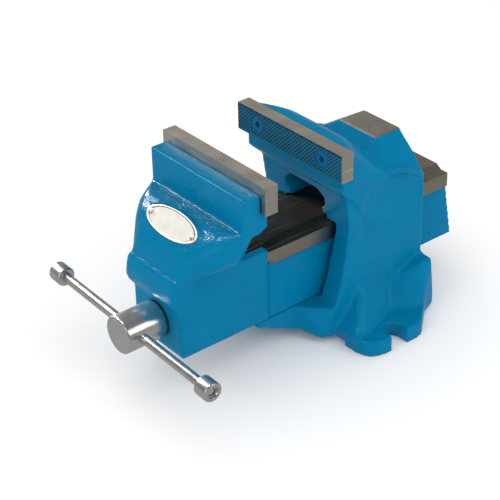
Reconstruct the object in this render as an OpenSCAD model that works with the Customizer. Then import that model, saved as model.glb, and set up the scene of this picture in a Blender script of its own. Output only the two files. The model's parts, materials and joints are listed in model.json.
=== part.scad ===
/* [Jaws] */
// Width of the hardened jaw plates
jaw_w = 100; // [96:1:104]
// Height of a jaw plate
plate_h = 18.9; // [17:0.1:20]
// Thickness of a jaw plate
plate_t = 9.6; // [8.5:0.1:10]
// Gap between the jaw plates as the vise is stored
opening = 50; // [40:1:55]
// Height of the jaws above the bench
jaw_top = 140; // [138:1:142]

/* [Slide] */
// Width of the slide's box section
slide_w = 46; // [45:0.5:47]
// Width over the flanges along the slide's top
flange_w = 52; // [51:0.5:53]
// Height of the slide's underside above the bench
slide_z = 26; // [25.5:0.1:26.5]
// Height of the flanges' machined top above the bench
flange_top = 77.5; // [77:0.1:78]
// Thickness of the flanges
flange_t = 10.8; // [9:0.1:12]

/* [Spindle] */
// Height of the spindle above the bench
screw_z = 45; // [44.5:0.1:45.5]
// Diameter of the plain journal behind the head
journal_d = 16; // [15:0.5:16]
// Diameter of the spindle's head
head_d = 25; // [22:0.5:26]
// Diameter of the tommy bar
bar_d = 6.4; // [6:0.2:8]
// Length of the tommy bar over its knobs
bar_len = 164; // [150:1:180]
// Droop of the tommy bar's right-hand end, in degrees
bar_tilt = 1.7; // [0:0.1:5]

/* [Base] */
// Distance between the bench bolts
bolt_spacing = 132.8; // [130:0.2:134]
// Width of the open bolt slots
slot_w = 12.8; // [11:0.2:13]
// Thickness of the lugs
lug_t = 11; // [10:0.5:12]

/* [Hidden] */
$fn = 64;

paint = [0.0, 0.45, 0.67];
ground_steel = [0.50, 0.47, 0.43];
bright_steel = [0.72, 0.72, 0.71];
ivory = [0.90, 0.87, 0.78];
bronze = [0.66, 0.50, 0.28];

fit = 0.08;            // radial clearance of a running fit
seat_gap = 0.05;       // radial clearance round a fastener that doesn't move
slide_gap = 0.35;      // clearance between the slide and its channel

// Jaw plates: the fixed face stays put and the moving face is one opening in front of it
fixed_face = -31;
moving_face = fixed_face - opening;
plate_z = jaw_top - plate_h;
jaw_inset = 4;         // the castings are narrower than the plates by this at each end
jaw_lip = 4.5;         // the castings stand back from the gripping faces by this
block_bottom = 109;
screw_x = 0.31 * jaw_w;
screw_head_d = 10.4;
screw_shank_d = 6;
screw_len = 20;
hex_af = 4;

// Fixed casting
body_x = 41.5;
body_rear = 49.5;
roof_mid_y = 15;
anvil_z = 120.3;
anvil_x = 16.5;
anvil_front = 28.3;
arch_x = 19;           // half the width of the arch over the slide
arch_top = 98;
floor_z = slide_z - 0.4;
slot_x = bolt_spacing / 2;
lug_x = 74;
foot_front = -28;
tongue_front = -76.5;

// Moving casting
nose_front = moving_face - 55.7;
nose_x = 24.5;
nose_rear = moving_face + 13;
slide_rear_low = moving_face + 177;
slide_rear_top = moving_face + 168;
hollow_x = 13;
hollow_z = 62;
core_z = 88;           // the hump is cored up to here from inside the box
front_wall = 11.7;
crown_h = 2.5;
ledge_z = 134;
chin = 5.5;
hump_y = moving_face - 32;
hump_z = 82.5;
hump_r = 23.5;

// Spindle stack, from the head towards the rear
head_front = nose_front - 29.7;
washer_t = 1.5;
head_back = nose_front - washer_t - 0.3;
inner_y = nose_front + front_wall;
cup_t = 1.6;
spring_len = 14;
spring_r = 10;
spring_wire = 2;
spring_turns = 4;
spring_start = inner_y + cup_t + 0.3;
collar_y = spring_start + spring_len;
collar_len = 10;
thread_d = journal_d - 0.2;
thread_end = moving_face + 167;
bar_y = nose_front - 19.3;
bar_mid = -1.5;
knob_d = 13;
knob_len = 11;
peg_d = 5.2;

// Spindle nut on the floor of the fixed casting
nut_y = 8;
nut_len = 26;
nut_r = 12.4;
nut_foot_x = 11;
bolt_y = nut_y + 8;
dowel_y = nut_y + 20;
bolt_d = 8;
dowel_d = 6;
counterbore_d = 15;
counterbore = 10;

// Badge
badge_pos = [0, moving_face - 41.94, 106.97];
badge_tilt = 43.6;
badge_a = 24.3;
badge_b = 8.85;
badge_t = 1;
rivet_x = 21;

// Draws its children on the right-hand side and mirrored on the left
module both_sides() {
    children();
    mirror([1, 0, 0]) children();
}

// A side outline of (y, z) points carried across the vise, w wide
module across(w, points) {
    translate([-w / 2, 0, 0]) rotate([90, 0, 90]) linear_extrude(w) polygon(points);
}

// A section of (x, z) points carried rearwards from y0 to y1
module along(y0, y1, points) {
    translate([0, y1, 0]) rotate([90, 0, 0]) linear_extrude(y1 - y0) polygon(points);
}

// A block from its low corner to its high corner
module block(a, b) {
    translate(a) cube(b - a);
}

// A cylinder along +Y that starts at y
module bar_along_y(r, y, len, x = 0, z = screw_z) {
    translate([x, y, z]) rotate([-90, 0, 0]) cylinder(r = r, h = len);
}

// Turns what is drawn along +X about the spindle's cross hole into the tommy bar's line
module on_bar() {
    translate([0, bar_y, screw_z]) rotate([0, bar_tilt, 0]) children();
}

// ---- Jaw plates and their screws ----

// A jaw plate whose back is at y = 0 and whose gripping face is at y = plate_t
module plate_shape() {
    difference() {
        block([-jaw_w / 2, 0, plate_z], [jaw_w / 2, plate_t, jaw_top]);
        both_sides() translate([screw_x, 0, plate_z + plate_h / 2]) rotate([-90, 0, 0]) {
            translate([0, 0, -1]) cylinder(d = screw_shank_d + 2 * seat_gap, h = plate_t + 2);
            translate([0, 0, plate_t - 4]) cylinder(d = screw_head_d + 2 * seat_gap, h = 5);
        }
    }
}

// A cap screw that holds a plate from its gripping face, with a hexagon socket
module screw_shape() {
    rotate([-90, 0, 0]) difference() {
        union() {
            translate([0, 0, plate_t - 3.9]) cylinder(d = screw_head_d, h = 3.3);
            translate([0, 0, plate_t - screw_len]) cylinder(d = screw_shank_d, h = screw_len - 3.9);
        }
        translate([0, 0, plate_t - 3]) cylinder(d = hex_af / cos(30), h = 4, $fn = 6);
    }
}

// Puts a shape drawn for a plate on the fixed jaw or on the moving jaw
module at_fixed_jaw() {
    translate([0, fixed_face + plate_t, 0]) mirror([0, 1, 0]) children();
}
module at_moving_jaw() {
    translate([0, moving_face - plate_t, 0]) children();
}
module at_screw(side) {
    translate([side * screw_x, 0, plate_z + plate_h / 2]) children();
}

module fixed_jaw_plate() {
    color(ground_steel) at_fixed_jaw() plate_shape();
}
module moving_jaw_plate() {
    color(ground_steel) at_moving_jaw() plate_shape();
}
module fixed_plate_screw_left() {
    color(ground_steel) at_fixed_jaw() at_screw(-1) screw_shape();
}
module fixed_plate_screw_right() {
    color(ground_steel) at_fixed_jaw() at_screw(1) screw_shape();
}
module moving_plate_screw_left() {
    color(ground_steel) at_moving_jaw() at_screw(-1) screw_shape();
}
module moving_plate_screw_right() {
    color(ground_steel) at_moving_jaw() at_screw(1) screw_shape();
}

// Tapped holes for the plate screws, drawn in the same place as a plate
module screw_holes() {
    both_sides() at_screw(1) rotate([-90, 0, 0]) translate([0, 0, plate_t - screw_len - 1])
        cylinder(d = screw_shank_d + 2 * seat_gap, h = screw_len);
}

// ---- Fixed casting ----

// The block behind and below the fixed plate, with the hooked underside
module fixed_block() {
    seat = fixed_face + plate_t;
    front = fixed_face + jaw_lip;
    across(jaw_w - 2 * jaw_inset, [
        [front, plate_z], [front, block_bottom + 1], [front + 6, block_bottom - 5], [-15, block_bottom - 5],
        [-15, jaw_top - 9], [seat + 2.5, jaw_top - 2.5], [seat, jaw_top - 2.5], [seat, plate_z]
    ]);
}

// The two walls that straddle the slide, with their hollowed front edge
module fixed_walls() {
    across(2 * body_x, [
        [foot_front, 4], [foot_front - 1, 12], [-26, 25.5], [-22, 38.5], [-18.5, 58.5], [-15.8, 81],
        [-19.5, 105], [roof_mid_y, 105], [body_rear, 95.4], [body_rear, 4]
    ]);
}

// The section of the roof at the saddle between the jaw and the anvil
module saddle() {
    along(roof_mid_y, roof_mid_y + 1, [
        [-body_x, 60], [-body_x, 105], [-37, 109], [-25, 110], [-12, 114.5],
        [12, 114.5], [25, 110], [37, 109], [body_x, 105], [body_x, 60]
    ]);
}

// The domed back of the jaw, down to the saddle in front of the anvil
module fixed_dome() {
    seat = fixed_face + plate_t;
    hull() {
        block([-44, seat, block_bottom], [44, seat + 3, jaw_top - 2]);
        translate([-26, -13, jaw_top - 12]) rotate([0, 90, 0]) cylinder(r = 10, h = 52, $fn = 32);
        saddle();
    }
}

// The anvil and the roof that slopes away from it
module anvil_roof() {
    hull() {
        block([-anvil_x, anvil_front, 100], [anvil_x, body_rear, anvil_z]);
        saddle();
        along(body_rear - 1, body_rear, [
            [-body_x, 60], [-body_x, 95.4], [-32, 107], [32, 107], [body_x, 95.4], [body_x, 60]
        ]);
    }
}

// Plan of the right-hand bench lug, without its slot
module lug_plan() {
    polygon([
        [0, foot_front + 2], [61, foot_front + 2], [lug_x, -13], [lug_x, 16], [71.2, 22.9], [46, 52], [0, 52]
    ]);
    translate([61, -13]) circle(r = 13);
    translate([64, 16]) circle(r = 10);
}

// The flare from a wall down to the front of a lug, and the pillar and gusset at its rear
module foot_flares() {
    both_sides() {
        hull() {
            block([36, -6, 4], [body_x + 0.3, 1, 33.5]);
            block([36, 10, 4], [body_x + 1, 22, 23]);
            block([36, foot_front + 2, 4], [46, -22, lug_t]);
            block([40, -24, 4], [61, -16.5, lug_t]);
            block([36, 0, 4], [50, 14, lug_t]);
        }
        hull() {
            block([36, 43, 1], [50.5, body_rear + 1, 36.5]);
            block([36, 24, 1], [body_x + 0.3, body_rear, 28]);
            block([36, 47, 1], [52, 51.5, 12]);
            block([36, 12, 1], [50, 20, lug_t]);
            block([36, 30, 1], [59, 34, lug_t]);
        }
    }
}

// The tongue that carries the slide in front of the walls, and the pad under it
module tongue() {
    across(slide_w, [
        [tongue_front, floor_z], [tongue_front, 21.5], [tongue_front + 6.4, 18.6], [-41, 5],
        [foot_front, 4], [0, 4], [0, floor_z]
    ]);
    hull() {
        block([-slide_w / 2, -46, 9], [slide_w / 2, -45, floor_z]);
        block([-body_x, foot_front, 4], [body_x, foot_front + 2, floor_z - 1]);
        block([-39, foot_front - 8, 4], [39, foot_front, 11]);
    }
    block([-14, foot_front - 6, 0], [14, foot_front + 6, 5]);
}

// The space that the slide runs in: its box, its flanges, its crown, the arch above and the wide mouth
module slide_channel() {
    box_x = slide_w / 2 + slide_gap;
    flange_x = flange_w / 2 + slide_gap;
    flange_low = flange_top - flange_t - slide_gap;
    along(-90, 90, [
        [-box_x, floor_z], [-box_x, flange_low], [-flange_x, flange_low], [-flange_x, flange_top + slide_gap],
        [flange_x, flange_top + slide_gap], [flange_x, flange_low], [box_x, flange_low], [box_x, floor_z]
    ]);
    crown_top = flange_top + crown_h + slide_gap;
    along(-90, 90, [[-20, flange_top], [-20, crown_top], [20, crown_top], [20, flange_top]]);
    along(-90, 90, [
        [-15.5, flange_top], [-15, 84], [-arch_x, 89], [-arch_x, arch_top - 5], [-arch_x + 6, arch_top],
        [arch_x - 6, arch_top], [arch_x, arch_top - 5], [arch_x, 89], [15, 84], [15.5, flange_top]
    ]);
    along(-60, -9, [[-25.3, floor_z], [-26.8, 52], [-29, 79], [29, 79], [26.8, 52], [25.3, floor_z]]);
}

// The open bolt slots, cut through the lugs to their outer edge
module bolt_slots() {
    both_sides() {
        translate([slot_x, 0, -1]) cylinder(d = slot_w, h = 50);
        block([slot_x, -slot_w / 2, -1], [lug_x + 1, slot_w / 2, 49]);
    }
}

// The holes in the floor under the spindle nut
module nut_holes() {
    translate([0, bolt_y, -1]) cylinder(d = bolt_d + 2 * seat_gap, h = 30);
    translate([0, bolt_y, -1]) cylinder(d = counterbore_d, h = counterbore + 1);
    translate([0, dowel_y, floor_z - 10]) cylinder(d = dowel_d + 2 * seat_gap, h = 12);
}

module fixed_jaw_body() {
    color(paint) difference() {
        union() {
            fixed_block();
            fixed_walls();
            fixed_dome();
            anvil_roof();
            foot_flares();
            tongue();
            linear_extrude(lug_t) both_sides() lug_plan();
        }
        block([-jaw_w, fixed_face - 1, plate_z], [jaw_w, fixed_face + plate_t, jaw_top + 1]);
        both_sides() block([14, foot_front - 10, -1], [50, foot_front + 5, 4]);
        slide_channel();
        bolt_slots();
        nut_holes();
        at_fixed_jaw() screw_holes();
    }
}

// ---- Moving casting ----

// The block behind and below the moving plate, with its ledge
module moving_block() {
    back = moving_face - plate_t;
    front = back - 12.9;
    rear = moving_face - jaw_lip;
    across(jaw_w - 2 * jaw_inset, [
        [front, block_bottom], [front, ledge_z], [back, ledge_z], [back, plate_z], [rear, plate_z],
        [rear, block_bottom + 2], [rear - 7, block_bottom - 1.5]
    ]);
}

// The bulging hump between the box and the jaw block
module hump() {
    hull() {
        across(42, [for (a = [0:10:180]) [hump_y + hump_r * cos(a), hump_z + hump_r * sin(a)]]);
        both_sides() {
            translate([28, hump_y - 2, hump_z + 13]) sphere(r = 12.5, $fn = 32);
            translate([33, hump_y + 4, hump_z + 16.5]) sphere(r = 12.5, $fn = 32);
        }
        block([-nose_x, hump_y - 23, hump_z - 2], [nose_x, moving_face - 8, hump_z]);
        block([-45, moving_face - 22, block_bottom - 1], [45, moving_face - 15, block_bottom + 3]);
    }
}

// The flat pad that carries the badge
module badge_pad() {
    at_badge() translate([0, 0, -4]) linear_extrude(4 - badge_t) ellipse(badge_a + 1, badge_b + 1);
}

// The box that closes the slide's front, with the chin above the spindle head
module nose() {
    block([-nose_x, nose_front, slide_z], [nose_x, nose_rear, flange_top]);
    across(2 * nose_x, [
        [nose_front, 58.5], [nose_front - chin + 1.5, 64], [nose_front - chin, 68], [nose_front - chin + 0.3, 74],
        [nose_front - chin + 2, 80.5], [nose_front - 1.5, 82.5], [moving_face - 8, 84], [moving_face - 8, 58.5]
    ]);
}

// The slide: box, flanges and the raised crown along its top
module slide() {
    flange_low = flange_top - flange_t;
    across(slide_w, [
        [nose_rear - 1, slide_z], [nose_rear - 1, flange_top], [slide_rear_top, flange_top],
        [slide_rear_low, slide_z]
    ]);
    across(flange_w, [
        [nose_rear, flange_low + 4], [nose_rear, flange_top], [slide_rear_top, flange_top],
        [slide_rear_top, flange_low], [nose_rear + 4, flange_low]
    ]);
    along(moving_face - 12, slide_rear_top, [
        [-19, flange_top - 1], [-19, flange_top + 0.5], [-16, flange_top + crown_h],
        [16, flange_top + crown_h], [19, flange_top + 0.5], [19, flange_top - 1]
    ]);
}

module moving_jaw_body() {
    color(paint) difference() {
        union() {
            moving_block();
            hump();
            badge_pad();
            nose();
            slide();
        }
        block([-hollow_x, inner_y, slide_z - 1], [hollow_x, slide_rear_low + 1, hollow_z]);
        block([-hollow_x, inner_y, hollow_z - 1], [hollow_x, moving_face - 14, core_z]);
        bar_along_y(head_d / 2 + 0.8, nose_front - 10, 10);
        both_sides() translate([17, moving_face - 4.5, flange_top + 8.5]) rotate([0, 90, 0])
            cylinder(r = 8.5, h = 12);
        bar_along_y(journal_d / 2 + fit, nose_front - 1, front_wall + 2);
        both_sides() at_badge() translate([rivet_x, 0, -8]) cylinder(r = 1.2 + seat_gap, h = 9);
        at_moving_jaw() screw_holes();
    }
}

// ---- Badge ----

// Puts a shape drawn flat on the badge's upper face in its place on the hump
module at_badge() {
    translate(badge_pos) rotate([badge_tilt, 0, 0]) children();
}

module ellipse(a, b) {
    polygon([for (i = [0:71]) [a * cos(5 * i), b * sin(5 * i)]]);
}

// The oval plate, left blank
module name_badge() {
    color(ivory) at_badge() translate([0, 0, -badge_t]) difference() {
        linear_extrude(badge_t) ellipse(badge_a, badge_b);
        both_sides() translate([rivet_x, 0, -1]) cylinder(r = 1.2 + seat_gap, h = 3);
    }
}

module rivet(side) {
    color(bright_steel) at_badge() translate([side * rivet_x, 0, 0]) rotate_extrude() polygon([
        [0, -6], [1.2, -6], [1.2, 0], [1.9, 0], [1.7, 0.6], [1, 1], [0, 1.1]
    ]);
}
module badge_rivet_left() {
    rivet(-1);
}
module badge_rivet_right() {
    rivet(1);
}

// ---- Spindle and what rides on it ----

module spindle() {
    color(bright_steel) difference() {
        translate([0, 0, screw_z]) rotate([-90, 0, 0]) rotate_extrude() polygon([
            [0, head_front], [head_d / 2 - 0.8, head_front], [head_d / 2, head_front + 0.8],
            [head_d / 2, head_back - 0.5], [head_d / 2 - 0.5, head_back], [journal_d / 2, head_back],
            [journal_d / 2, collar_y + collar_len], [thread_d / 2, collar_y + collar_len + 1],
            [thread_d / 2, thread_end - 2], [thread_d / 2 - 2, thread_end], [0, thread_end]
        ]);
        on_bar() translate([-20, 0, 0]) rotate([0, 90, 0]) cylinder(r = bar_d / 2 + fit, h = 40);
        translate([0, collar_y + collar_len / 2, screw_z - 20]) cylinder(r = 2 + seat_gap, h = 40);
    }
}

// The washer that the head bears on
module thrust_washer() {
    color(ground_steel) difference() {
        bar_along_y(12, nose_front - washer_t, washer_t);
        bar_along_y(journal_d / 2 + fit, nose_front - washer_t - 1, washer_t + 2);
    }
}

// The cupped washer between the front wall and the spring
module spring_cup_washer() {
    color(ground_steel) difference() {
        bar_along_y(12.4, inner_y, cup_t);
        bar_along_y(journal_d / 2 + fit, inner_y - 1, cup_t + 2);
    }
}

// Points of one ring of the spring's wire at angle a, on a helix about +Y
function wire_ring(a, y, sides = 8) = [
    for (i = [0:sides - 1]) let (
        r = spring_r + spring_wire / 2 * cos(360 * i / sides)
    ) [r * cos(a), y + spring_wire / 2 * sin(360 * i / sides), screw_z + r * sin(a)]
];

// The compression spring that draws the moving jaw back as the spindle is undone
module spindle_spring() {
    sides = 8;
    steps = 24 * spring_turns;
    rise = (spring_len - 2 * spring_wire / 2 - 0.6) / steps;
    rings = [for (s = [0:steps]) wire_ring(15 * s, spring_start + spring_wire / 2 + 0.3 + rise * s)];
    color(ground_steel) polyhedron(
        points = [for (ring = rings) each ring],
        faces = concat(
            [[for (i = [0:sides - 1]) i]],
            [[for (i = [sides - 1:-1:0]) steps * sides + i]],
            [for (s = [0:steps - 1]) for (i = [0:sides - 1]) let (j = (i + 1) % sides)
                [s * sides + i, (s + 1) * sides + i, (s + 1) * sides + j, s * sides + j]]
        )
    );
}

module spring_collar() {
    color(ground_steel) difference() {
        bar_along_y(12.2, collar_y, collar_len);
        bar_along_y(journal_d / 2 + seat_gap, collar_y - 1, collar_len + 2);
        translate([0, collar_y + collar_len / 2, screw_z - 20]) cylinder(r = 2 + seat_gap, h = 40);
    }
}

module collar_pin() {
    color(bright_steel) translate([0, collar_y + collar_len / 2, screw_z - 12]) cylinder(r = 2, h = 24);
}

// ---- Tommy bar and knobs ----

module tommy_bar() {
    color(bright_steel) on_bar() translate([bar_mid, 0, 0]) {
        rotate([0, 90, 0]) cylinder(d = bar_d, h = bar_len - 2 * knob_len, center = true);
        rotate([0, 90, 0]) cylinder(d = peg_d, h = bar_len - 3, center = true);
    }
}

// A knob drawn along +X from its inner face, with a shallow dish where the bar's end is riveted over
module knob_shape() {
    r = knob_d / 2;
    rotate([0, 90, 0]) rotate_extrude() polygon([
        [peg_d / 2 + seat_gap, 0], [r - 1.2, 0], [r, 1.2], [r, knob_len - 1.2], [r - 1.2, knob_len],
        [r - 2.2, knob_len], [r - 2.8, knob_len - 1.5], [peg_d / 2 + seat_gap, knob_len - 1.5]
    ]);
}
module handle_knob_left() {
    color(bright_steel) on_bar() translate([bar_mid - bar_len / 2 + knob_len, 0, 0])
        mirror([1, 0, 0]) knob_shape();
}
module handle_knob_right() {
    color(bright_steel) on_bar() translate([bar_mid + bar_len / 2 - knob_len, 0, 0]) knob_shape();
}

// ---- Spindle nut on the floor of the fixed casting ----

module spindle_nut() {
    color(bronze) difference() {
        union() {
            bar_along_y(nut_r, nut_y, nut_len);
            block([-nut_foot_x, nut_y, floor_z], [nut_foot_x, nut_y + nut_len, screw_z]);
        }
        bar_along_y(thread_d / 2 + fit, nut_y - 1, nut_len + 2);
        translate([0, bolt_y, floor_z - 1]) cylinder(d = bolt_d + 2 * seat_gap, h = 11.5);
        translate([0, dowel_y, floor_z - 1]) cylinder(d = dowel_d + 2 * seat_gap, h = 8);
    }
}

module nut_bolt() {
    head_h = counterbore - 2;
    color(ground_steel) translate([0, bolt_y, 0]) difference() {
        union() {
            translate([0, 0, 0.4]) cylinder(d = 13, h = head_h);
            translate([0, 0, 0.4 + head_h]) cylinder(d = bolt_d, h = 26);
        }
        translate([0, 0, -1]) cylinder(d = 6 / cos(30), h = 6, $fn = 6);
    }
}

module nut_bolt_washer() {
    color(ground_steel) translate([0, bolt_y, counterbore - 1.6]) difference() {
        cylinder(d = 14.6, h = 1.6);
        translate([0, 0, -1]) cylinder(d = bolt_d + 2 * seat_gap, h = 4);
    }
}

module nut_dowel() {
    color(bright_steel) translate([0, dowel_y, floor_z - 9.8]) cylinder(d = dowel_d, h = 16);
}

fixed_jaw_body();
fixed_jaw_plate();
fixed_plate_screw_left();
fixed_plate_screw_right();
moving_jaw_body();
moving_jaw_plate();
moving_plate_screw_left();
moving_plate_screw_right();
name_badge();
badge_rivet_left();
badge_rivet_right();
spindle();
thrust_washer();
spring_cup_washer();
spindle_spring();
spring_collar();
collar_pin();
tommy_bar();
handle_knob_left();
handle_knob_right();
spindle_nut();
nut_bolt();
nut_bolt_washer();
nut_dowel();
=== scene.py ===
"""The finish of a bench vise: two gloss-painted castings, ground slide and anvil, serrated jaw plates,
bright spindle and handle, and the small fittings that hold them together."""
import json
import math

import bmesh
import bpy
import numpy as np
from mathutils import Matrix, Vector


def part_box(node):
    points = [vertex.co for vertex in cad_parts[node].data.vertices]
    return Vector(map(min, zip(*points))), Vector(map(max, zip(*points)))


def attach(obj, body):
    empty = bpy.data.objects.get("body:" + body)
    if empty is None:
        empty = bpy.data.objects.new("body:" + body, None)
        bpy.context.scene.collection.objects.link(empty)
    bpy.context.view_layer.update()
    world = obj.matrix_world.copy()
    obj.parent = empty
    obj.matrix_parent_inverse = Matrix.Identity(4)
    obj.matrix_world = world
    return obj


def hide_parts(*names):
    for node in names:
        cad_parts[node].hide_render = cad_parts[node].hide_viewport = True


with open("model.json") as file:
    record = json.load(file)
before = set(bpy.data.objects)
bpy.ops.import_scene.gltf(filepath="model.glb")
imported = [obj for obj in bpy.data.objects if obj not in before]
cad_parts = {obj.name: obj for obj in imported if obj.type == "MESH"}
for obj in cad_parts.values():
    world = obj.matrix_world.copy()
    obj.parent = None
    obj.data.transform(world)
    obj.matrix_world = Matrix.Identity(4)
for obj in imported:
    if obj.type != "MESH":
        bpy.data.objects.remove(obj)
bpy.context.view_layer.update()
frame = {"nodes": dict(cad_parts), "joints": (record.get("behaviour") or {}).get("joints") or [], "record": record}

MM = 0.001
nodes = frame["nodes"]


def box_mm(node):
    """A CAD node's lowest and highest corners, in millimetres."""
    low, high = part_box(node)
    return np.array(low) / MM, np.array(high) / MM


fixed_low, fixed_high = box_mm("fixed_jaw_plate")
moving_low, moving_high = box_mm("moving_jaw_plate")
spindle_low, spindle_high = box_mm("spindle")
collar_high = box_mm("spring_collar")[1]
spring_low, spring_high = box_mm("spindle_spring")
knob_high = box_mm("handle_knob_right")[1]
joints = {j["name"]: j for j in frame["joints"]}
turn_at = np.array(joints["screw_turn"]["pos_m"]) / MM
bar_axis = Vector(joints["handle_slide"]["axis"]).normalized()
mounts = {m["name"]: m for m in frame["record"]["mounts"]}
anvil_z = mounts["anvil_face"]["pos_m"][2] / MM

# Sizes of the castings' ground surfaces and edges, in millimetres
ANVIL_FRONT = 28.3
FLANGE_TOP, FLANGE_LOW, FLANGE_FRONT = 77.5, 66.7, -68.0
CROWN_X, CROWN_FRONT = 19.0, -93.0
WALL_X = 41.5
LUG_T = 11.0
SERRATION = 0.75
BADGE = dict(a=24.3, b=8.85, tilt=43.6, at=(0.0, -122.94, 106.97))  # half axes, degrees, centre
GUIDE_EASE = 0.25  # how far the base's guide stands off the slide, over the CAD's own gap

# The studio, in metres, watts and degrees
CAMERA_EYE, CAMERA_SPOT = (0.6462, -0.5746, 0.5730), (-0.04054, -0.0310, 0.03237)
CAMERA_LENS, CAMERA_ROLL = 109.73, -1.25
LAMP_SPOT = (0, -0.04, 0.07)
LAMPS = (  # name, place, size, power; a sparkle shows only as gloss
    ("top_softbox", (-0.10, -0.10, 0.85), 0.55, 0.5),
    ("front_softbox", (0.25, -0.95, 0.45), 0.45, 1.2),
    ("right_softbox", (0.95, 0.35, 0.55), 0.50, 1.8),
    ("left_sparkle", (-0.82, -0.16, 0.40), 0.13, 11.0),
    ("high_sparkle", (-0.62, -0.36, 0.66), 0.11, 8.0),
    ("top_sparkle", (-0.12, -0.36, 0.92), 0.10, 6.0))
FLOOR_SIZE = 12.0
GLOSS_DIM, GLOSS_SKY_DIM = 0.58, 0.24  # how much darker the studio is in reflections, low and high up

# The spindle and its handle, in millimetres
JOURNAL_R, THREAD_PITCH, THREAD_DEPTH = 8.0, 5.0, 1.5
BAR_R, PEG_R, KNOB_R, KNOB_LENGTH, BAR_MIDDLE = 3.2, 2.6, 6.5, 11.0, -1.5


# ---- Node trees: arithmetic on sockets, and one call for every other node ----

class Wire:
    """A socket that takes part in arithmetic. Each operator adds one Math node to its tree."""

    def __init__(self, plan, socket):
        self.plan, self.socket = plan, socket

    def out(self, name):
        return Wire(self.plan, pick(self.socket.node.outputs, name))

    def maths(self, how, *others):
        return self.plan.add("ShaderNodeMath", {"operation": how}, dict(enumerate((self,) + others)))

    def __add__(self, other):
        return self.maths("ADD", other)

    def __mul__(self, other):
        return self.maths("MULTIPLY", other)

    def __sub__(self, other):
        return self.maths("SUBTRACT", other)

    def __rsub__(self, other):
        return self.plan.add("ShaderNodeMath", {"operation": "SUBTRACT"}, {0: other, 1: self})

    def __truediv__(self, other):
        return self.maths("DIVIDE", other)

    def __pow__(self, other):
        return self.maths("POWER", other)

    __radd__, __rmul__ = __add__, __mul__

    def size(self):
        return self.maths("ABSOLUTE")

    def above(self, limit, soft=0.0001):
        """1 where the wire is above the limit and 0 below it, with a ramp between that is soft wide."""
        step = {"data_type": "FLOAT", "interpolation_type": "SMOOTHSTEP", "clamp": True}
        return self.plan.add("ShaderNodeMapRange", step, {
            "Value": self, "From Min": limit - soft / 2, "From Max": limit + soft / 2})

    def below(self, limit, soft=0.0001):
        return 1.0 - self.above(limit, soft)

    def within(self, low, high, soft=0.0001):
        return self.above(low, soft) * self.below(high, soft)


def pick(sockets, name):
    """A socket by its place, its identifier or its name."""
    if isinstance(name, int):
        return sockets[name]
    return next((s for s in sockets if s.identifier == name), None) or sockets[name]


class Plan:
    """A node tree in the making."""

    def __init__(self, tree):
        self.tree = tree

    def add(self, kind, settings=None, inputs=None, out=0):
        """One node of any kind: its settings, then its sockets' values or wires. Gives one output's wire."""
        node = self.tree.nodes.new(kind)
        for name, value in (settings or {}).items():
            setattr(node, name, value)
        for name, value in (inputs or {}).items():
            socket = pick(node.inputs, name)
            if isinstance(value, Wire):
                self.tree.links.new(value.socket, socket)
            else:
                socket.default_value = value
        return Wire(self, pick(node.outputs, out)) if len(node.outputs) else node

    def mix(self, share, a, b):
        """Colour a turning into colour b as share goes from 0 to 1."""
        return self.add("ShaderNodeMix", {"data_type": "RGBA"}, {
            "Factor_Float": share, "A_Color": a if isinstance(a, Wire) else (*a, 1.0),
            "B_Color": b if isinstance(b, Wire) else (*b, 1.0)}, "Result_Color")

    def join(self, x, y, z):
        return self.add("ShaderNodeCombineXYZ", None, {0: x, 1: y, 2: z})


class Finish(Plan):
    """A material whose patterns are laid out in the object's own metres."""

    def __init__(self, name):
        self.material = bpy.data.materials.new(name)
        self.material.use_nodes = True
        super().__init__(self.material.node_tree)
        self.tree.nodes.clear()
        self.place = self.add("ShaderNodeTexCoord", out="Object")
        split = self.add("ShaderNodeSeparateXYZ", None, {0: self.place})
        self.x, self.y, self.z = (split.out(n) for n in "XYZ")

    def grain(self, size, detail=2.0, stretch=(1, 1, 1), turn=(0, 0, 0), rough=0.5):
        """Noise from 0 to 1 whose lumps are about size metres across, longer along an axis by its stretch."""
        spot = self.add("ShaderNodeMapping", None, {
            "Vector": self.place, "Rotation": turn, "Scale": tuple(1 / s for s in stretch)})
        return self.add("ShaderNodeTexNoise", {"noise_dimensions": "3D"}, {
            "Vector": spot, "Scale": 1 / size, "Detail": detail, "Roughness": rough}, "Fac")

    def relief(self, height, depth, under=None):
        """A bumped normal: height from 0 to 1 stands for depth metres."""
        inputs = {"Height": height, "Distance": depth, "Strength": 1.0}
        if under is not None:
            inputs["Normal"] = under
        return self.add("ShaderNodeBump", None, inputs)

    def surface(self, **values):
        """A Principled shader; underscores in a socket's name stand for spaces."""
        return self.add("ShaderNodeBsdfPrincipled", None, {
            k.replace("_", " "): (*v, 1.0) if isinstance(v, tuple) else v for k, v in values.items()})

    def done(self, shader):
        self.add("ShaderNodeOutputMaterial", None, {"Surface": shader})
        return self.material


# ---- Finishes ----

def gloss_paint(f, low=(0.0, 0.148, 0.300), high=(0.0, 0.196, 0.378)):
    """Thick gloss enamel over a sand casting: orange peel, soft lumps and slightly uneven depth of colour."""
    cloud, lumps, peel = f.grain(0.022, 3), f.grain(0.0075, 2), f.grain(0.0013, 1)
    dust = f.grain(0.0006, 2).above(0.66, 0.08)
    colour = f.mix(cloud * 0.6 + lumps * 0.4, low, high)
    colour = f.mix(dust * 0.45, colour, tuple(0.5 * v for v in low))
    skin = f.relief(peel, 0.00026, f.relief(lumps, 0.00022))
    return f.surface(Base_Color=colour, Roughness=0.12 + 0.08 * cloud, Normal=skin, Specular_IOR_Level=0.08)


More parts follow.
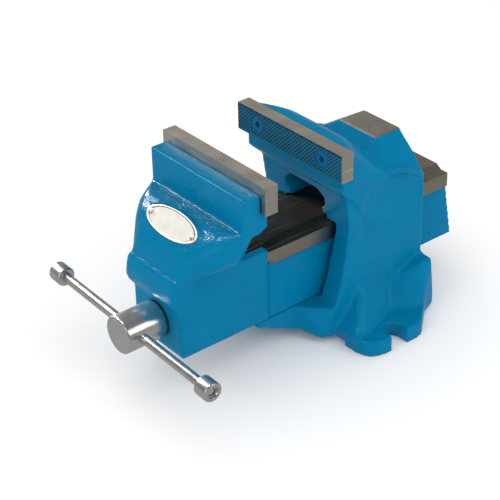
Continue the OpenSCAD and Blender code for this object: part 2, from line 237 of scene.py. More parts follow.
def ground_metal(f, tone=(0.47, 0.43, 0.365), along="X", rough=0.30, oil_and_shade=None):
    """Surface-ground iron or steel: fine marks along one axis, faint cross scratches and dull patches, and, where
    a mask is given, a darkening that is painted shade and oil.
    """
    stretch = {"X": (60, 1, 1), "Y": (1, 60, 1), "Z": (1, 1, 60)}[along]
    marks = f.grain(0.00035, 2, stretch)
    coarse = f.grain(0.0013, 2, stretch)
    patches = f.grain(0.014, 4)
    scratch = f.grain(0.0011, 2, (1, 45, 6), (0.0, 0.0, math.radians(38))).above(0.67, 0.06)
    shade = marks * 0.45 + coarse * 0.25 + patches * 0.30
    colour = f.mix(shade, tuple(0.62 * v for v in tone), tuple(1.38 * v for v in tone))
    colour = f.mix(scratch * 0.35, colour, tuple(1.7 * v for v in tone))
    if oil_and_shade is not None:
        # painted shade and oil: the masked metal is darkened to near black
        colour = f.mix(oil_and_shade * (0.92 - 0.5 * scratch), colour, tuple(0.12 * v for v in tone))
    skin = f.relief(marks * 0.7 + coarse * 0.3, 0.000012)
    return f.surface(
        Base_Color=colour, Metallic=1.0, Roughness=rough + 0.14 * patches - 0.06 * scratch, Normal=skin)


def casting_finish(name, bare, along="Y", tone=(0.45, 0.41, 0.35), oil_and_shade_above=900.0):
    """Gloss paint that stops where the casting is ground bare. bare(f) gives the mask."""
    f = Finish(name)
    edge = (f.grain(0.0022, 3) - 0.5) * 0.0009
    mask = bare(f, edge)
    paint = gloss_paint(f)
    # the mask is the slide's top in front of the fixed jaw, where painted shade and oil darken it
    metal = ground_metal(f, tone, along, 0.32, f.z.above(oil_and_shade_above * MM, 0.0004) * f.y.below(-0.004, 0.03))
    return f.done(f.add("ShaderNodeMixShader", None, {"Fac": mask, 1: paint, 2: metal}))


def base_bare(f, edge):
    top = (f.z + edge * 0.2).above(anvil_z * MM - 0.00035)
    sole = f.z.below(0.0004)
    return (top * f.y.above((ANVIL_FRONT - 1) * MM) + sole).maths("MINIMUM", 1.0)


def slide_bare(f, edge):
    flange = (f.z + edge * 0.3).above((FLANGE_LOW - 0.15) * MM) * f.y.above((FLANGE_FRONT - 0.8) * MM)
    crown = (f.z + edge * 0.3).above((FLANGE_TOP + 0.4) * MM) * (f.y + edge).above((CROWN_FRONT + 1) * MM)
    crown = crown * f.x.size().below((CROWN_X + 1.5) * MM) * f.z.below((FLANGE_TOP + 3.2) * MM)
    return (flange + crown).maths("MINIMUM", 1.0)


def plate_steel(name, along="X"):
    f = Finish(name)
    return f.done(ground_metal(f, (0.52, 0.475, 0.405), along, 0.33))


def painted_teeth(name, face_y, towards):
    """Paint over a serrated face, with painted shade darkening its grooves and a dark broken line along its top
    edge and left end.
    """
    f = Finish(name)
    depth = (f.y - face_y * MM) * float(towards)
    groove_shade = depth.above(0.00052, 0.0004)
    wear, patch = f.grain(0.0013, 3), f.grain(0.012, 2)
    colour = f.mix(wear * 0.6 + patch * 0.4, (0.0, 0.105, 0.20), (0.0, 0.175, 0.32))
    # painted shade: the grooves between the teeth are darkened to near black
    colour = f.mix(groove_shade * (0.35 + 0.7 * wear).maths("MINIMUM", 1.0), colour, (0.0, 0.018, 0.035))
    rim = f.z.above((fixed_high[2] - 1.1) * MM, 0.0006) * f.grain(0.0019, 2).above(0.40, 0.1)
    rim = rim + (f.x + fixed_high[0] * MM).below(0.0009, 0.0003)
    colour = f.mix(rim.maths("MINIMUM", 1.0) * 0.92, colour, (0.006, 0.010, 0.013))
    skin = f.relief(f.grain(0.0012, 1), 0.00003)
    return f.done(f.surface(
        Base_Color=colour, Roughness=0.24 + 0.25 * wear, Normal=skin, Specular_IOR_Level=0.12))


def painted_fitting(name):
    f = Finish(name)
    return f.done(gloss_paint(f, (0.0, 0.10, 0.24), (0.0, 0.145, 0.335)))


def bright_plate(name, along="Y", tone=(0.66, 0.66, 0.64)):
    """Bright zinc plating over turned steel: rings round the axis, a faint cloud and a few bag marks."""
    f = Finish(name)
    rings = f.grain(0.00028, 2, {"Y": (200, 1, 200), "X": (1, 200, 200)}[along])
    cloud, fine = f.grain(0.009, 3), f.grain(0.0016, 3)
    marks = f.grain(0.0009, 2, (12, 1, 3), (0.4, 0.2, 0.9)).above(0.70, 0.05)
    colour = f.mix(cloud * 0.6 + rings * 0.4, tuple(0.78 * v for v in tone), tuple(1.15 * v for v in tone))
    colour = f.mix(marks * 0.4, colour, tuple(0.5 * v for v in tone))
    skin = f.relief(rings * 0.8 + fine * 0.2, 0.000006)
    return f.done(f.surface(
        Base_Color=colour, Metallic=1.0, Roughness=0.17 + 0.14 * cloud + 0.1 * marks, Normal=skin))


def oiled_black(name, tone=(0.075, 0.075, 0.08)):
    f = Finish(name)
    cloud, fine = f.grain(0.006, 4), f.grain(0.0005, 2)
    colour = f.mix(cloud, tuple(0.6 * v for v in tone), tuple(1.7 * v for v in tone))
    skin = f.relief(fine, 0.000012)
    return f.done(f.surface(Base_Color=colour, Metallic=0.85, Roughness=0.30 + 0.25 * cloud, Normal=skin))


def sawn_bronze(name):
    f = Finish(name)
    marks, cloud = f.grain(0.0004, 2, (1, 40, 1)), f.grain(0.010, 4)
    colour = f.mix(marks * 0.5 + cloud * 0.5, (0.30, 0.175, 0.065), (0.62, 0.40, 0.17))
    skin = f.relief(marks, 0.00001)
    return f.done(f.surface(Base_Color=colour, Metallic=1.0, Roughness=0.28 + 0.25 * cloud, Normal=skin))


def ivory_badge(name):
    """Cream enamel with one dark line just inside the rim, and no lettering."""
    f = Finish(name)
    tilt = math.radians(BADGE["tilt"])
    at = [v * MM for v in BADGE["at"]]
    up = (f.y - at[1]) * math.cos(tilt) + (f.z - at[2]) * math.sin(tilt)
    oval = ((f.x / (BADGE["a"] * MM)) ** 2.0 + (up / (BADGE["b"] * MM)).size() ** 2.0) ** 0.5
    line = oval.within(0.865, 0.915, 0.015)
    rim = oval.above(0.955, 0.02)
    cloud, fleck = f.grain(0.005, 3), f.grain(0.0007, 2).above(0.68, 0.06)
    colour = f.mix(cloud, (0.49, 0.46, 0.395), (0.60, 0.575, 0.505))
    colour = f.mix(fleck * 0.12, colour, (0.35, 0.30, 0.22))
    colour = f.mix(line, colour, (0.035, 0.035, 0.035))
    colour = f.mix(rim, colour, (0.50, 0.49, 0.45))
    skin = f.relief(f.grain(0.0012, 1), 0.000018)
    return f.done(f.surface(
        Base_Color=colour, Metallic=rim * 0.5, Roughness=0.34 + 0.16 * cloud, Normal=skin,
        Coat_Weight=0.4 - 0.4 * rim))


def pale_floor(name):
    f = Finish(name)
    cloud = f.grain(0.35, 2)
    colour = f.mix(cloud, (0.93, 0.93, 0.93), (0.96, 0.96, 0.96))
    return f.done(f.surface(Base_Color=colour, Roughness=0.75 + 0.1 * cloud, Specular_IOR_Level=0.1))


# ---- Mesh work ----

def new_object(name, mesh, *materials):
    made = bpy.data.objects.new(name, mesh)
    bpy.context.scene.collection.objects.link(made)
    for material in materials:
        mesh.materials.append(material)
    return made


def mesh_from(name, points, faces):
    """A mesh from points in millimetres."""
    mesh = bpy.data.meshes.new(name)
    mesh.from_pydata([Vector(p) * MM for p in points], [], faces)
    mesh.update()
    return mesh


def tidy(mesh, merge=1e-6):
    """Merges doubles and turns every face outwards."""
    work = bmesh.new()
    work.from_mesh(mesh)
    bmesh.ops.remove_doubles(work, verts=work.verts, dist=merge)
    bmesh.ops.recalc_face_normals(work, faces=work.faces)
    work.to_mesh(mesh)
    work.free()
    return mesh


def worked(thing):
    """Works the object's modifiers into its mesh and takes them off."""
    graph = bpy.context.evaluated_depsgraph_get()
    mesh = bpy.data.meshes.new_from_object(thing.evaluated_get(graph))
    thing.modifiers.clear()
    thing.data = mesh
    return thing


def shaded(mesh, angle=32):
    """Smooth shading that stops at edges sharper than the angle."""
    mesh.polygons.foreach_set("use_smooth", [True] * len(mesh.polygons))
    mesh.set_sharp_from_angle(angle=math.radians(angle))
    return mesh


def lathe(name, profile, sides=96):
    """(place along +Y, radius) points turned about the spindle's line; an end of radius 0 closes it."""
    points, faces, rings = [], [], []
    for along, radius in profile:
        first = len(points)
        if radius == 0:
            points.append((0.0, along, turn_at[2]))
            rings.append([first] * sides)
            continue
        for k in range(sides):
            angle = 2 * math.pi * k / sides
            points.append((radius * math.sin(angle), along, turn_at[2] + radius * math.cos(angle)))
        rings.append(list(range(first, first + sides)))
    for ring, after in zip(rings, rings[1:]):
        for k in range(sides):
            corners = [ring[k], ring[(k + 1) % sides], after[(k + 1) % sides], after[k]]
            faces.append(list(dict.fromkeys(corners)))
    return tidy(mesh_from(name, points, faces))


def rounded(along, radius, r, way, steps=5):
    """Profile points of a quarter-round edge of radius r. way 1 leaves an end face, -1 arrives at one."""
    turn = [math.pi / 2 * k / steps for k in range(steps + 1)]
    if way > 0:
        return [(along + r - r * math.cos(t), radius - r + r * math.sin(t)) for t in turn]
    return [(along - r + r * math.sin(t), radius - r + r * math.cos(t)) for t in turn]


def bar_place(at_x=0.0):
    """Takes a shape turned about the spindle's line onto the tommy bar's line, so that +Y becomes +X."""
    centre = Vector(turn_at)
    tilt = math.atan2(-bar_axis.z, bar_axis.x)
    line_up = Matrix.Rotation(math.radians(-90), 4, "Z")
    return (Matrix.Translation(centre * MM) @ Matrix.Rotation(tilt, 4, "Y")
            @ Matrix.Translation((at_x * MM, 0, 0)) @ line_up @ Matrix.Translation((0, 0, -centre.z * MM)))


def onto_spindle(at_y):
    """Takes a shape that stands along Z onto the spindle's line, its origin going to at_y."""
    return (Matrix.Translation((0, at_y * MM, turn_at[2] * MM))
            @ Matrix.Rotation(math.radians(-90), 4, "X"))


def swept_bead(path, x, radius, sides=12):
    """A round bead along (y, z) points beside a wall at x, closed at both ends."""
    path = np.array(path, float)
    points, faces = [], []
    for k, spot in enumerate(path):
        way = path[min(k + 1, len(path) - 1)] - path[max(k - 1, 0)]
        way /= np.linalg.norm(way)
        r = radius * (0.35 if k in (0, len(path) - 1) else 1.0)
        for s in range(sides):
            a = 2 * math.pi * s / sides
            rise = r * math.sin(a)
            points.append((x + r * math.cos(a), spot[0] - rise * way[1], spot[1] + rise * way[0]))
    for k in range(len(path) - 1):
        for s in range(sides):
            a, b = k * sides + s, k * sides + (s + 1) % sides
            faces.append([a, b, b + sides, a + sides])
    faces += [list(range(sides))[::-1], [(len(path) - 1) * sides + s for s in range(sides)]]
    return tidy(mesh_from("bead", points, faces))


def ramp(value, low, high):
    t = np.clip((value - low) / (high - low), 0, 1)
    return t * t * (3 - 2 * t)


def inside(value, low, high, soft):
    return ramp(value, low - soft, low) * (1 - ramp(value, high, high + soft))


def soften(mesh, weight, rounds):
    """Draws each point towards its neighbours. weight(x, y, z), in millimetres, says how much."""
    count = len(mesh.vertices)
    spots = np.empty(count * 3)
    mesh.vertices.foreach_get("co", spots)
    spots = spots.reshape(-1, 3)
    ends = np.empty(len(mesh.edges) * 2, np.int32)
    mesh.edges.foreach_get("vertices", ends)
    a, b = ends.reshape(-1, 2).T
    near = np.bincount(a, minlength=count) + np.bincount(b, minlength=count)
    share = (np.clip(weight(*(spots.T / MM)), 0, 1) * 0.5)[:, None]
    for _ in range(rounds):
        total = np.stack([
            np.bincount(a, spots[b, k], count) + np.bincount(b, spots[a, k], count) for k in range(3)], 1)
        spots = spots + share * (total / near[:, None] - spots)
    mesh.vertices.foreach_set("co", spots.ravel())
    mesh.update()


def cast(name, node, extra, finish, weights, shift=None):
    """A casting: the CAD node and extra closed shapes fused into one skin, with its edges rounded as cast.

    shift(x, y, z) gives how far each point then moves along X and along Z, in millimetres."""
    work = bmesh.new()
    work.from_mesh(nodes[node].data)
    bmesh.ops.remove_doubles(work, verts=work.verts, dist=1e-6)
    for mesh in extra:
        work.from_mesh(mesh)
    mesh = bpy.data.meshes.new(name)
    work.to_mesh(mesh)
    work.free()
    piece = new_object(name, mesh)
    fuse = piece.modifiers.new("fuse", "REMESH")
    fuse.mode, fuse.voxel_size, fuse.use_smooth_shade = "VOXEL", 1.0 * MM, True
    worked(piece)
    if shift:
        spots = np.empty(len(piece.data.vertices) * 3)
        piece.data.vertices.foreach_get("co", spots)
        spots = spots.reshape(-1, 3)
        spots[:, [0, 2]] += np.stack(shift(*(spots.T / MM)), 1) * MM
        piece.data.vertices.foreach_set("co", spots.ravel())
    for weight, rounds in weights:
        soften(piece.data, weight, rounds)
    piece.data.materials.clear()
    piece.data.materials.append(finish)
    piece.data.polygons.foreach_set("use_smooth", [True] * len(piece.data.polygons))
    return piece


def both_sides(make):
    return [make(1), make(-1)]


# ---- Geometry nodes: repeated and rule-made shapes ----

class Shape(Plan):
    """A geometry tree with named inputs that ends in Realize Instances and Set Material."""

    def __init__(self, name, sizes):
        tree = bpy.data.node_groups.new(name, "GeometryNodeTree")
        super().__init__(tree)
        tree.interface.new_socket("Geometry", in_out="OUTPUT", socket_type="NodeSocketGeometry")
        self.sizes, self.keys = dict(sizes), {}
        for label, value in sizes.items():
            kind = "NodeSocketInt" if isinstance(value, int) else "NodeSocketFloat"
            self.keys[label] = tree.interface.new_socket(label, in_out="INPUT", socket_type=kind).identifier
        self.group = self.add("NodeGroupInput") if sizes else None

    def __getitem__(self, label):
        return self.group.out(label)

    def build(self, name, geometry, material, merge=0.0):
        """The tree's shape as a plain mesh object."""
        whole = self.add("GeometryNodeRealizeInstances", None, {0: geometry})
        if merge:
            whole = self.add("GeometryNodeMergeByDistance", None, {"Geometry": whole, "Distance": merge})
        whole = self.add("GeometryNodeSetMaterial", None, {"Geometry": whole, "Material": material})
        self.add("NodeGroupOutput", None, {0: whole})
        thing = new_object(name, bpy.data.meshes.new(name))
        step = thing.modifiers.new(name, "NODES")
        step.node_group = self.tree
        for label, value in self.sizes.items():
            step[self.keys[label]] = value
        return worked(thing)


def serrated_sheet(width, height, across, up, tile, material):
    """One face of diamond teeth in the x-z plane, its crests at y = 0: a tile repeated over a grid."""
    s = Shape("diamond_teeth", {"Width": width * MM, "Height": height * MM, "Across": across, "Up": up})
    step_x, step_z = s["Width"] / s["Across"], s["Height"] / s["Up"]
    grid = s.add("GeometryNodeMeshGrid", None, {
        "Size X": s["Width"] - step_x, "Size Y": s["Height"] - step_z,
        "Vertices X": s["Across"], "Vertices Y": s["Up"]}, "Mesh")
    tooth = s.add("GeometryNodeObjectInfo", None, {"Object": tile}, "Geometry")
    placed = s.add("GeometryNodeInstanceOnPoints", None, {"Points": grid, "Instance": tooth})
    stood = s.add("GeometryNodeTransform", None, {"Geometry": placed, "Rotation": (math.pi / 2, 0, 0)})
    return s.build("teeth", stood, material, merge=0.00002)


def jaw_plate(name, low, high, face_y, back_y, screws, teeth, steel):
    """A hard jaw with diamond teeth on its gripping face, ground elsewhere, bored for its two screws."""
    width, height = high[0] - low[0], high[2] - low[2]
    across, up = 36, 7
    w, h, d = width / across / 2, height / up / 2, SERRATION
    spots = [(0, 0, 0), (w, h, 0), (-w, h, 0), (-w, -h, 0), (w, -h, 0),
             (w, 0, -d), (0, h, -d), (-w, 0, -d), (0, -h, -d)]
    tips = [(0, 5, 6), (0, 6, 7), (0, 7, 8), (0, 8, 5), (1, 6, 5), (2, 7, 6), (3, 8, 7), (4, 5, 8)]
    tile = new_object("tooth_tile", mesh_from("tooth_tile", spots, tips))
    sheet = serrated_sheet(width, height, across, up, tile, teeth)
    out = 1 if face_y > back_y else -1
    work = bmesh.new()
    work.from_mesh(sheet.data)
    for v in work.verts:  # the grid stands with its crests towards -Y
        v.co = Vector((v.co.x, face_y * MM - out * abs(v.co.y), v.co.z + (low[2] + high[2]) / 2 * MM))
    rim = [e for e in work.edges if e.is_boundary]
    for v in {v for e in rim for v in e.verts}:  # the plate's outline is ground straight
        v.co.y = (face_y - out * 0.12) * MM
    drawn = bmesh.ops.extrude_edge_only(work, edges=rim)["geom"]
    for v in (g for g in drawn if isinstance(g, bmesh.types.BMVert)):
        v.co.y = back_y * MM
    bmesh.ops.remove_doubles(work, verts=work.verts, dist=1e-7)
    bmesh.ops.holes_fill(work, edges=[e for e in work.edges if e.is_boundary], sides=0)
    bmesh.ops.recalc_face_normals(work, faces=work.faces)
    mesh = bpy.data.meshes.new(name)
    work.to_mesh(mesh)
    work.free()
    for thing in (sheet, tile):
        bpy.data.objects.remove(thing)
    plate = new_object(name, mesh, teeth, steel)
    for k, (centre, head, shank, seat) in enumerate(screws):
        far, near = back_y - out, face_y + out
        step, end = abs(seat - far), abs(near - far)
        profile = [(0, 0), (0, shank), (step, shank), (step, head), (end, head), (end, 0)]
        cutter = lathe("bore", [(far + out * p, r) for p, r in profile], 64)
        cutter.transform(Matrix.Translation(((centre[0]) * MM, 0, (centre[2] - turn_at[2]) * MM)))
        tool = new_object("bore", tidy(cutter))
        cut = plate.modifiers.new(f"bore_{k}", "BOOLEAN")
        cut.operation, cut.solver, cut.object = "DIFFERENCE", "EXACT", tool
        worked(plate)
        bpy.data.objects.remove(tool)
    plate.data.materials.clear()
    plate.data.materials.append(teeth)
    plate.data.materials.append(steel)
    for face in plate.data.polygons:
        spots = [plate.data.vertices[v].co.y / MM for v in face.vertices]
        front = abs(face.normal.y) > 0.3 and all(abs(y - face_y) < SERRATION + 0.05 for y in spots)
        bore = any(math.hypot(face.center.x / MM - c[0], face.center.z / MM - c[2]) < head + 0.1
                   for c, head, *_ in screws)
        face.material_index = 0 if front or bore else 1
    return plate


def coil_spring(low, high, wire, turns, material):
    """An open coil spring about the spindle's line, swept along a spiral."""
    outer = (high[0] - low[0]) / 2
    s = Shape("coil", {
        "Coil radius": (outer - wire / 2) * MM, "Wire radius": wire / 2 * MM,
        "Length": (high[1] - low[1] - wire) * MM, "Turns": float(turns), "Steps per turn": 40})
    path = s.add("GeometryNodeCurveSpiral", None, {
        "Resolution": s["Steps per turn"], "Rotations": s["Turns"], "Start Radius": s["Coil radius"],
        "End Radius": s["Coil radius"], "Height": s["Length"]})
    ring = s.add("GeometryNodeCurvePrimitiveCircle", {"mode": "RADIUS"}, {
        "Resolution": 14, "Radius": s["Wire radius"]}, "Curve")
    wound = s.add("GeometryNodeCurveToMesh", None, {"Curve": path, "Profile Curve": ring, "Fill Caps": True})
    spring = s.build("spring_coil", wound, material)
    spring.data.transform(onto_spindle(low[1] + wire / 2))
    tidy(spring.data)
    return spring


def screw_thread(start, end, outer, depth, pitch, material):
    """A right-handed thread about the spindle's line: a fine tube whose radius follows the helix."""
    length = end - start
    rings = int(length / pitch * 10)
    s = Shape("thread", {
        "Length": length * MM, "Outer radius": outer * MM, "Depth": depth * MM, "Pitch": pitch * MM,
        "Rings": rings})
    tube = s.add("GeometryNodeMeshCylinder", {"fill_type": "NGON"}, {
        "Vertices": 48, "Side Segments": s["Rings"], "Radius": s["Outer radius"],
        "Depth": s["Length"]}, "Mesh")
    spot = s.add("ShaderNodeSeparateXYZ", None, {0: s.add("GeometryNodeInputPosition")})
    x, y, z = (spot.out(n) for n in "XYZ")
    turn = y.maths("ARCTAN2", x) / (2 * math.pi)
    phase = (z / s["Pitch"] - turn).maths("FRACT")
    wave = ((phase - 0.5).size() * 2.0 - 0.5) * 2.6 + 0.5
    crest = wave.maths("MINIMUM", 1.0).maths("MAXIMUM", 0.0)
    lead_in = (s["Length"] / 2.0 - z.size()) / (s["Pitch"] * 0.6)
    lead_in = lead_in.maths("MINIMUM", 1.0).maths("MAXIMUM", 0.0)
    scale = 1.0 - (s["Depth"] / s["Outer radius"]) * (1.0 - crest * lead_in)
    moved = s.add("GeometryNodeSetPosition", None, {
        "Geometry": tube, "Position": s.join(x * scale, y * scale, z)})
    thread = s.build("spindle_thread", moved, material)
    thread.data.transform(onto_spindle((start + end) / 2))
    return thread


def joined(name, parts, *materials):
    """Several objects' meshes as one piece."""
    work = bmesh.new()
    for part in parts:
        work.from_mesh(part.data)
    mesh = bpy.data.meshes.new(name)
    work.to_mesh(mesh)
    work.free()
    for part in parts:
        bpy.data.objects.remove(part)
    return new_object(name, mesh, *materials)


# ---- Camera, lights and floor ----

def aim(thing, spot):
    thing.rotation_euler = (Vector(spot) - thing.location).to_track_quat("-Z", "Y").to_euler()


def studio():
    camera = bpy.data.objects.new("camera", bpy.data.cameras.new("camera"))
    bpy.context.scene.collection.objects.link(camera)
    eye, spot = Vector(CAMERA_EYE), Vector(CAMERA_SPOT)
    roll = Matrix.Rotation(math.radians(CAMERA_ROLL), 3, "Z")
    turn = (spot - eye).to_track_quat("-Z", "Y").to_matrix() @ roll
    camera.matrix_world = Matrix.Translation(eye) @ turn.to_4x4()
    camera.data.sensor_width, camera.data.lens = 36.0, CAMERA_LENS
    camera.data.clip_start, camera.data.clip_end = 0.05, 20.0
    bpy.context.scene.camera = camera
    for name, at, size, power in LAMPS:
        lamp = bpy.data.objects.new(name, bpy.data.lights.new(name, "AREA"))
        bpy.context.scene.collection.objects.link(lamp)
        lamp.location, lamp.data.size, lamp.data.energy = at, size, power
        lamp.visible_diffuse = "sparkle" not in name
        lamp.visible_glossy = "top_softbox" not in name
        aim(lamp, LAMP_SPOT)
    world = bpy.data.worlds.new("studio")
    bpy.context.scene.world = world
    world.use_nodes = True
    p = Plan(world.node_tree)
    p.tree.nodes.clear()
    shiny = p.add("ShaderNodeLightPath", out="Is Glossy Ray")
    way = p.add("ShaderNodeTexCoord", out="Generated")
    sky = p.add("ShaderNodeSeparateXYZ", None, {0: way}).out("Z").above(0.05, 0.5)
    strength = 1.0 - shiny * (GLOSS_DIM + sky * GLOSS_SKY_DIM)
    glow = p.add("ShaderNodeBackground", None, {"Color": (1, 1, 1, 1), "Strength": strength})
    p.add("ShaderNodeOutputWorld", None, {"Surface": glow})
    bpy.context.scene.view_settings.view_transform = "Standard"
    far = FLOOR_SIZE / MM
    corners = [(-far, -far, 0), (far, -far, 0), (far, far, 0), (-far, far, 0)]
    floor = new_object("floor", mesh_from("floor", corners, [(0, 1, 2, 3)]), pale_floor("pale_floor"))
    floor.visible_glossy = False  # it would veil the gloss paint with white


studio()

# ---- Castings ----

paint_base = casting_finish("painted_base_casting", base_bare, "X")
# the last number is the height above which the slide's front top gets painted shade and oil
paint_slide = casting_finish("painted_slide_casting", slide_bare, "Y", (0.36, 0.325, 0.265), FLANGE_TOP - 0.6)
SHOULDER = [(-3, 98.0), (-1.4, 102), (1.6, 105), (6, 107), (12, 108.2), (19, 108.6), (26, 107.2), (33, 104.2),
            (40, 100.4), (46, 97.2), (49, 95.4)]


def base_edges(x, y, z):
    side = np.abs(x)
    ground = inside(z, anvil_z - 1.5, 200, 0.5) * inside(y, ANVIL_FRONT - 1.2, 80, 0.5)
    channel = inside(side, -1, 27.5, 0.5) * inside(z, 25, 82, 0.5)
    sole = 1 - ramp(z, 0.6, 1.6)
    seat = inside(y, fixed_low[1] - 2, fixed_high[1] + 1.5, 0.5) * ramp(z, fixed_low[2] - 2, fixed_low[2])
    return 1 - np.maximum.reduce([ground, 0.75 * channel, 0.8 * sole, 0.6 * seat])


def base_foot(x, y, z):
    return ramp(np.abs(x), 38, 43) * (1 - ramp(z, 40, 48)) * ramp(z, LUG_T - 1, LUG_T + 2)


def base_flow(x, y, z):
    near_anvil = ramp(z, anvil_z - 4, anvil_z - 1.5) * ramp(y, 18, 24)
    roof = ramp(z, 107, 111) * inside(y, -8, 30, 5) * (1 - near_anvil)
    return 0.95 * roof


def panel(x, y, z):
    """The side panel, sunk a little under its arched edge, and the guide, eased off the sliding jaw."""
    arch = np.interp(y, [p[0] for p in SHOULDER], [p[1] for p in SHOULDER])
    sunk = ramp(arch - 1.6 - z, 0, 0.9) * ramp(z, 62, 88) * inside(y, -4, 46, 3)
    side = np.abs(x)
    guide = GUIDE_EASE * inside(side, 22.4, 27.2, 0.3) * inside(z, 24, 79, 0.5)
    ledges = inside(z, 24.6, 27.0, 0.5) + inside(z, 66.2, 67.4, 0.4)
    return (np.sign(x) * (guide - 1.1 * sunk * ramp(side, WALL_X - 3, WALL_X - 2)),
            -GUIDE_EASE * ledges * (1 - ramp(side, 37, 38)))


shoulder_beads = both_sides(lambda s: swept_bead(SHOULDER, s * (WALL_X - 0.5), 2.2))
base = cast("fixed_casting", "fixed_jaw_body", shoulder_beads, paint_base,
            [(base_edges, 4), (base_foot, 4), (base_flow, 40)], panel)


def jaw_edges(x, y, z):
    side = np.abs(x)
    machined = ramp(y, FLANGE_FRONT - 1.5, FLANGE_FRONT) * ramp(z, FLANGE_LOW - 2, FLANGE_LOW - 0.5)
    crown = ramp(y, CROWN_FRONT, CROWN_FRONT + 1) * inside(side, -1, CROWN_X + 1, 0.5)
    crown = crown * inside(z, FLANGE_TOP - 1, 82, 0.5)
    box = ramp(y, FLANGE_FRONT - 2, FLANGE_FRONT) * (1 - ramp(z, FLANGE_LOW - 2, FLANGE_LOW))
    return 1 - np.maximum.reduce([machined, crown, 0.55 * box])


def jaw_flow(x, y, z):
    bulge = inside(z, 85, 107, 2) * inside(y, -136, -97, 3)
    return bulge * (1 - inside(np.abs(x), -1, 25, 2) * inside(z, 98, 116, 2))


moving = cast("moving_casting", "moving_jaw_body", [], paint_slide, [(jaw_edges, 4), (jaw_flow, 22)])

# ---- Jaw plates ----

teeth_fixed = painted_teeth("painted_teeth_fixed", fixed_low[1], 1)
teeth_moving = painted_teeth("painted_teeth_moving", moving_high[1], -1)
steel_plate = plate_steel("ground_plate_steel", "Y")


def plate_screws(prefix, face_y, out):
    found = []
    for side in ("left", "right"):
        low, high = box_mm(f"{prefix}_plate_screw_{side}")
        found.append(((low + high) / 2, (high[0] - low[0]) / 2 + 0.12, 3.1, face_y - out * 4.0))
    return found


plate_fixed = jaw_plate("fixed_hard_jaw", fixed_low, fixed_high, fixed_low[1], fixed_high[1],
                        plate_screws("fixed", fixed_low[1], -1), teeth_fixed, steel_plate)
plate_moving = jaw_plate("moving_hard_jaw", moving_low, moving_high, moving_high[1], moving_low[1],
                         plate_screws("moving", moving_high[1], 1), teeth_moving, steel_plate)

# ---- Badge ----

def badge_plate(material):
    """A thin oval plate with a raised, rounded rim and its two rivet holes covered by the rivets."""
    a, b, steps = BADGE["a"], BADGE["b"], 96
    rows = [(0.0, -0.15), (0.5, -0.15), (0.86, -0.17), (0.93, -0.15), (0.955, -0.02), (0.975, 0.0),
            (0.99, -0.06), (1.0, -0.25), (1.0, -0.98), (0.5, -1.0), (0.0, -1.0)]
    points, faces, rings = [], [], []
    turns = [2 * math.pi * k / steps for k in range(steps)]
    for share, height in rows:
        first = len(points)
        if share == 0:
            points.append((0, 0, height))
            rings.append([first] * steps)
            continue
        tall = b * (1 - (1 - share) * (a / b) ** 0.35 if share > 0.9 else share)
        points += [(a * share * math.cos(turn), tall * math.sin(turn), height) for turn in turns]
        rings.append(list(range(first, first + steps)))
    for ring, after in zip(rings, rings[1:]):
        faces += [list(dict.fromkeys([ring[k], after[k], after[(k + 1) % steps], ring[(k + 1) % steps]]))
                  for k in range(steps)]
    mesh = tidy(mesh_from("badge", points, faces))
    lean = Matrix.Rotation(math.radians(BADGE["tilt"]), 4, "X")
    mesh.transform(Matrix.Translation(Vector(BADGE["at"]) * MM) @ lean)
    return new_object("oval_badge", shaded(mesh, 40), material)


badge = badge_plate(ivory_badge("ivory_badge_enamel"))

# ---- Spindle, spring and handle ----

bright = bright_plate("bright_turned_plate")
bright_bar = bright_plate("bright_bar_plate", "X")
black = oiled_black("oiled_black_steel")
head_front, thread_end, collar_end = spindle_low[1], spindle_high[1], collar_high[1]
head_r = (spindle_high[0] - spindle_low[0]) / 2
head_back = box_mm("thrust_washer")[0][1] - 0.3


def turned_spindle():
    profile = [(head_front, 0)] + rounded(head_front, head_r, 0.9, 1) + rounded(head_back, head_r, 0.6, -1)
    profile += [(head_back, JOURNAL_R), (collar_end, JOURNAL_R),
                (collar_end + 0.8, JOURNAL_R - 0.8), (collar_end + 0.8, 0)]
    body = new_object("spindle_body", lathe("spindle_body", profile, 128))
    hole = lathe("cross_hole", [(-20, 0), (-20, BAR_R + 0.1), (20, BAR_R + 0.1), (20, 0)], 48)
    hole.transform(bar_place())
    tool = new_object("cross_hole", tidy(hole))
    cut = body.modifiers.new("cross_hole", "BOOLEAN")
    cut.operation, cut.solver, cut.object = "DIFFERENCE", "EXACT", tool
    worked(body)
    bpy.data.objects.remove(tool)
    thread = screw_thread(collar_end - 2, thread_end, JOURNAL_R - 0.1, THREAD_DEPTH, THREAD_PITCH, bright)
    whole = joined("turned_spindle", [body, thread], bright)
    shaded(whole.data, 35)
    return whole


spindle = turned_spindle()
spring = coil_spring(spring_low, spring_high, 2.0, 4, black)
shaded(spring.data, 60)

half = knob_high[0] / bar_axis.x - BAR_MIDDLE


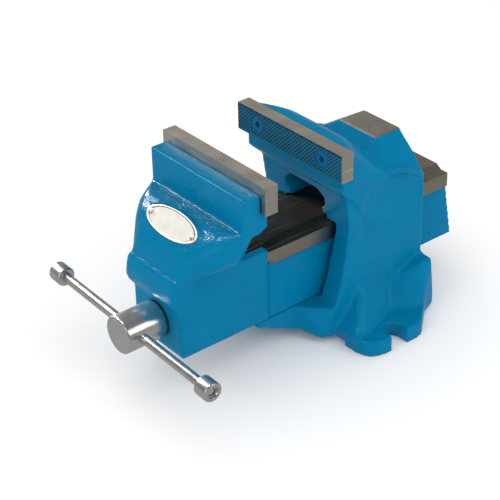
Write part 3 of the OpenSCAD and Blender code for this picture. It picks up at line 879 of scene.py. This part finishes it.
def handle_bar():
    shoulder, end = half - KNOB_LENGTH, half - 1.5
    right = rounded(shoulder, BAR_R, 0.25, -1, 3)
    right += [(shoulder, PEG_R), (end - 0.9, PEG_R), (end - 0.35, PEG_R * 0.86), (end, PEG_R * 0.45),
              (end, 0)]
    profile = [(-y, r) for y, r in reversed(right)] + right
    mesh = lathe("handle_bar", profile, 64)
    mesh.transform(bar_place(BAR_MIDDLE))
    return new_object("handle_bar", shaded(tidy(mesh), 40), bright_bar)


def handle_knob(name, side):
    inner, outer, r, bore = half - KNOB_LENGTH, half, KNOB_R, PEG_R + 0.05
    profile = [(inner, bore)] + rounded(inner, r, 1.1, 1, 7) + rounded(outer, r, 1.3, -1, 7)
    profile += [(outer, r - 2.3), (outer - 0.25, r - 2.65), (outer - 1.5, r - 3.0), (outer - 1.5, bore),
                (inner, bore)]
    mesh = lathe(name, [(side * y, radius) for y, radius in profile], 72)
    mesh.transform(bar_place(BAR_MIDDLE))
    return new_object(name, shaded(tidy(mesh), 40), bright_bar)


bar = handle_bar()
knob_right, knob_left = handle_knob("knob_right", 1), handle_knob("knob_left", -1)

# ---- Finishes on the CAD's own fittings ----

painted_screw = painted_fitting("painted_screw_heads")
bronze = sawn_bronze("machined_bronze")
for names, material in (
        (("fixed_plate_screw_left", "fixed_plate_screw_right",
          "moving_plate_screw_left", "moving_plate_screw_right"), painted_screw),
        (("badge_rivet_left", "badge_rivet_right", "collar_pin", "nut_dowel"), bright),
        (("thrust_washer", "spring_cup_washer", "spring_collar", "nut_bolt", "nut_bolt_washer"), black),
        (("spindle_nut",), bronze)):
    for name in names:
        mesh = nodes[name].data
        mesh.materials.clear()
        mesh.materials.append(material)

# ---- What rides on what ----

for piece, body, replaced, slot in (
        (base, "vise_base", ("fixed_jaw_body",), "blue_paint"),
        (plate_fixed, "vise_base", ("fixed_jaw_plate",), "ground_steel"),
        (moving, "sliding_jaw", ("moving_jaw_body",), "blue_paint"),
        (plate_moving, "sliding_jaw", ("moving_jaw_plate",), "ground_steel"),
        (badge, "sliding_jaw", ("name_badge",), "ivory_enamel"),
        (spindle, "spindle_assembly", ("spindle",), "plated_steel"),
        (spring, "spindle_assembly", ("spindle_spring",), "dark_steel"),
        (bar, "handle", ("tommy_bar",), "plated_steel"),
        (knob_left, "handle", ("handle_knob_left",), "plated_steel"),
        (knob_right, "handle", ("handle_knob_right",), "plated_steel")):
    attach(piece, body)
    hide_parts(*replaced)
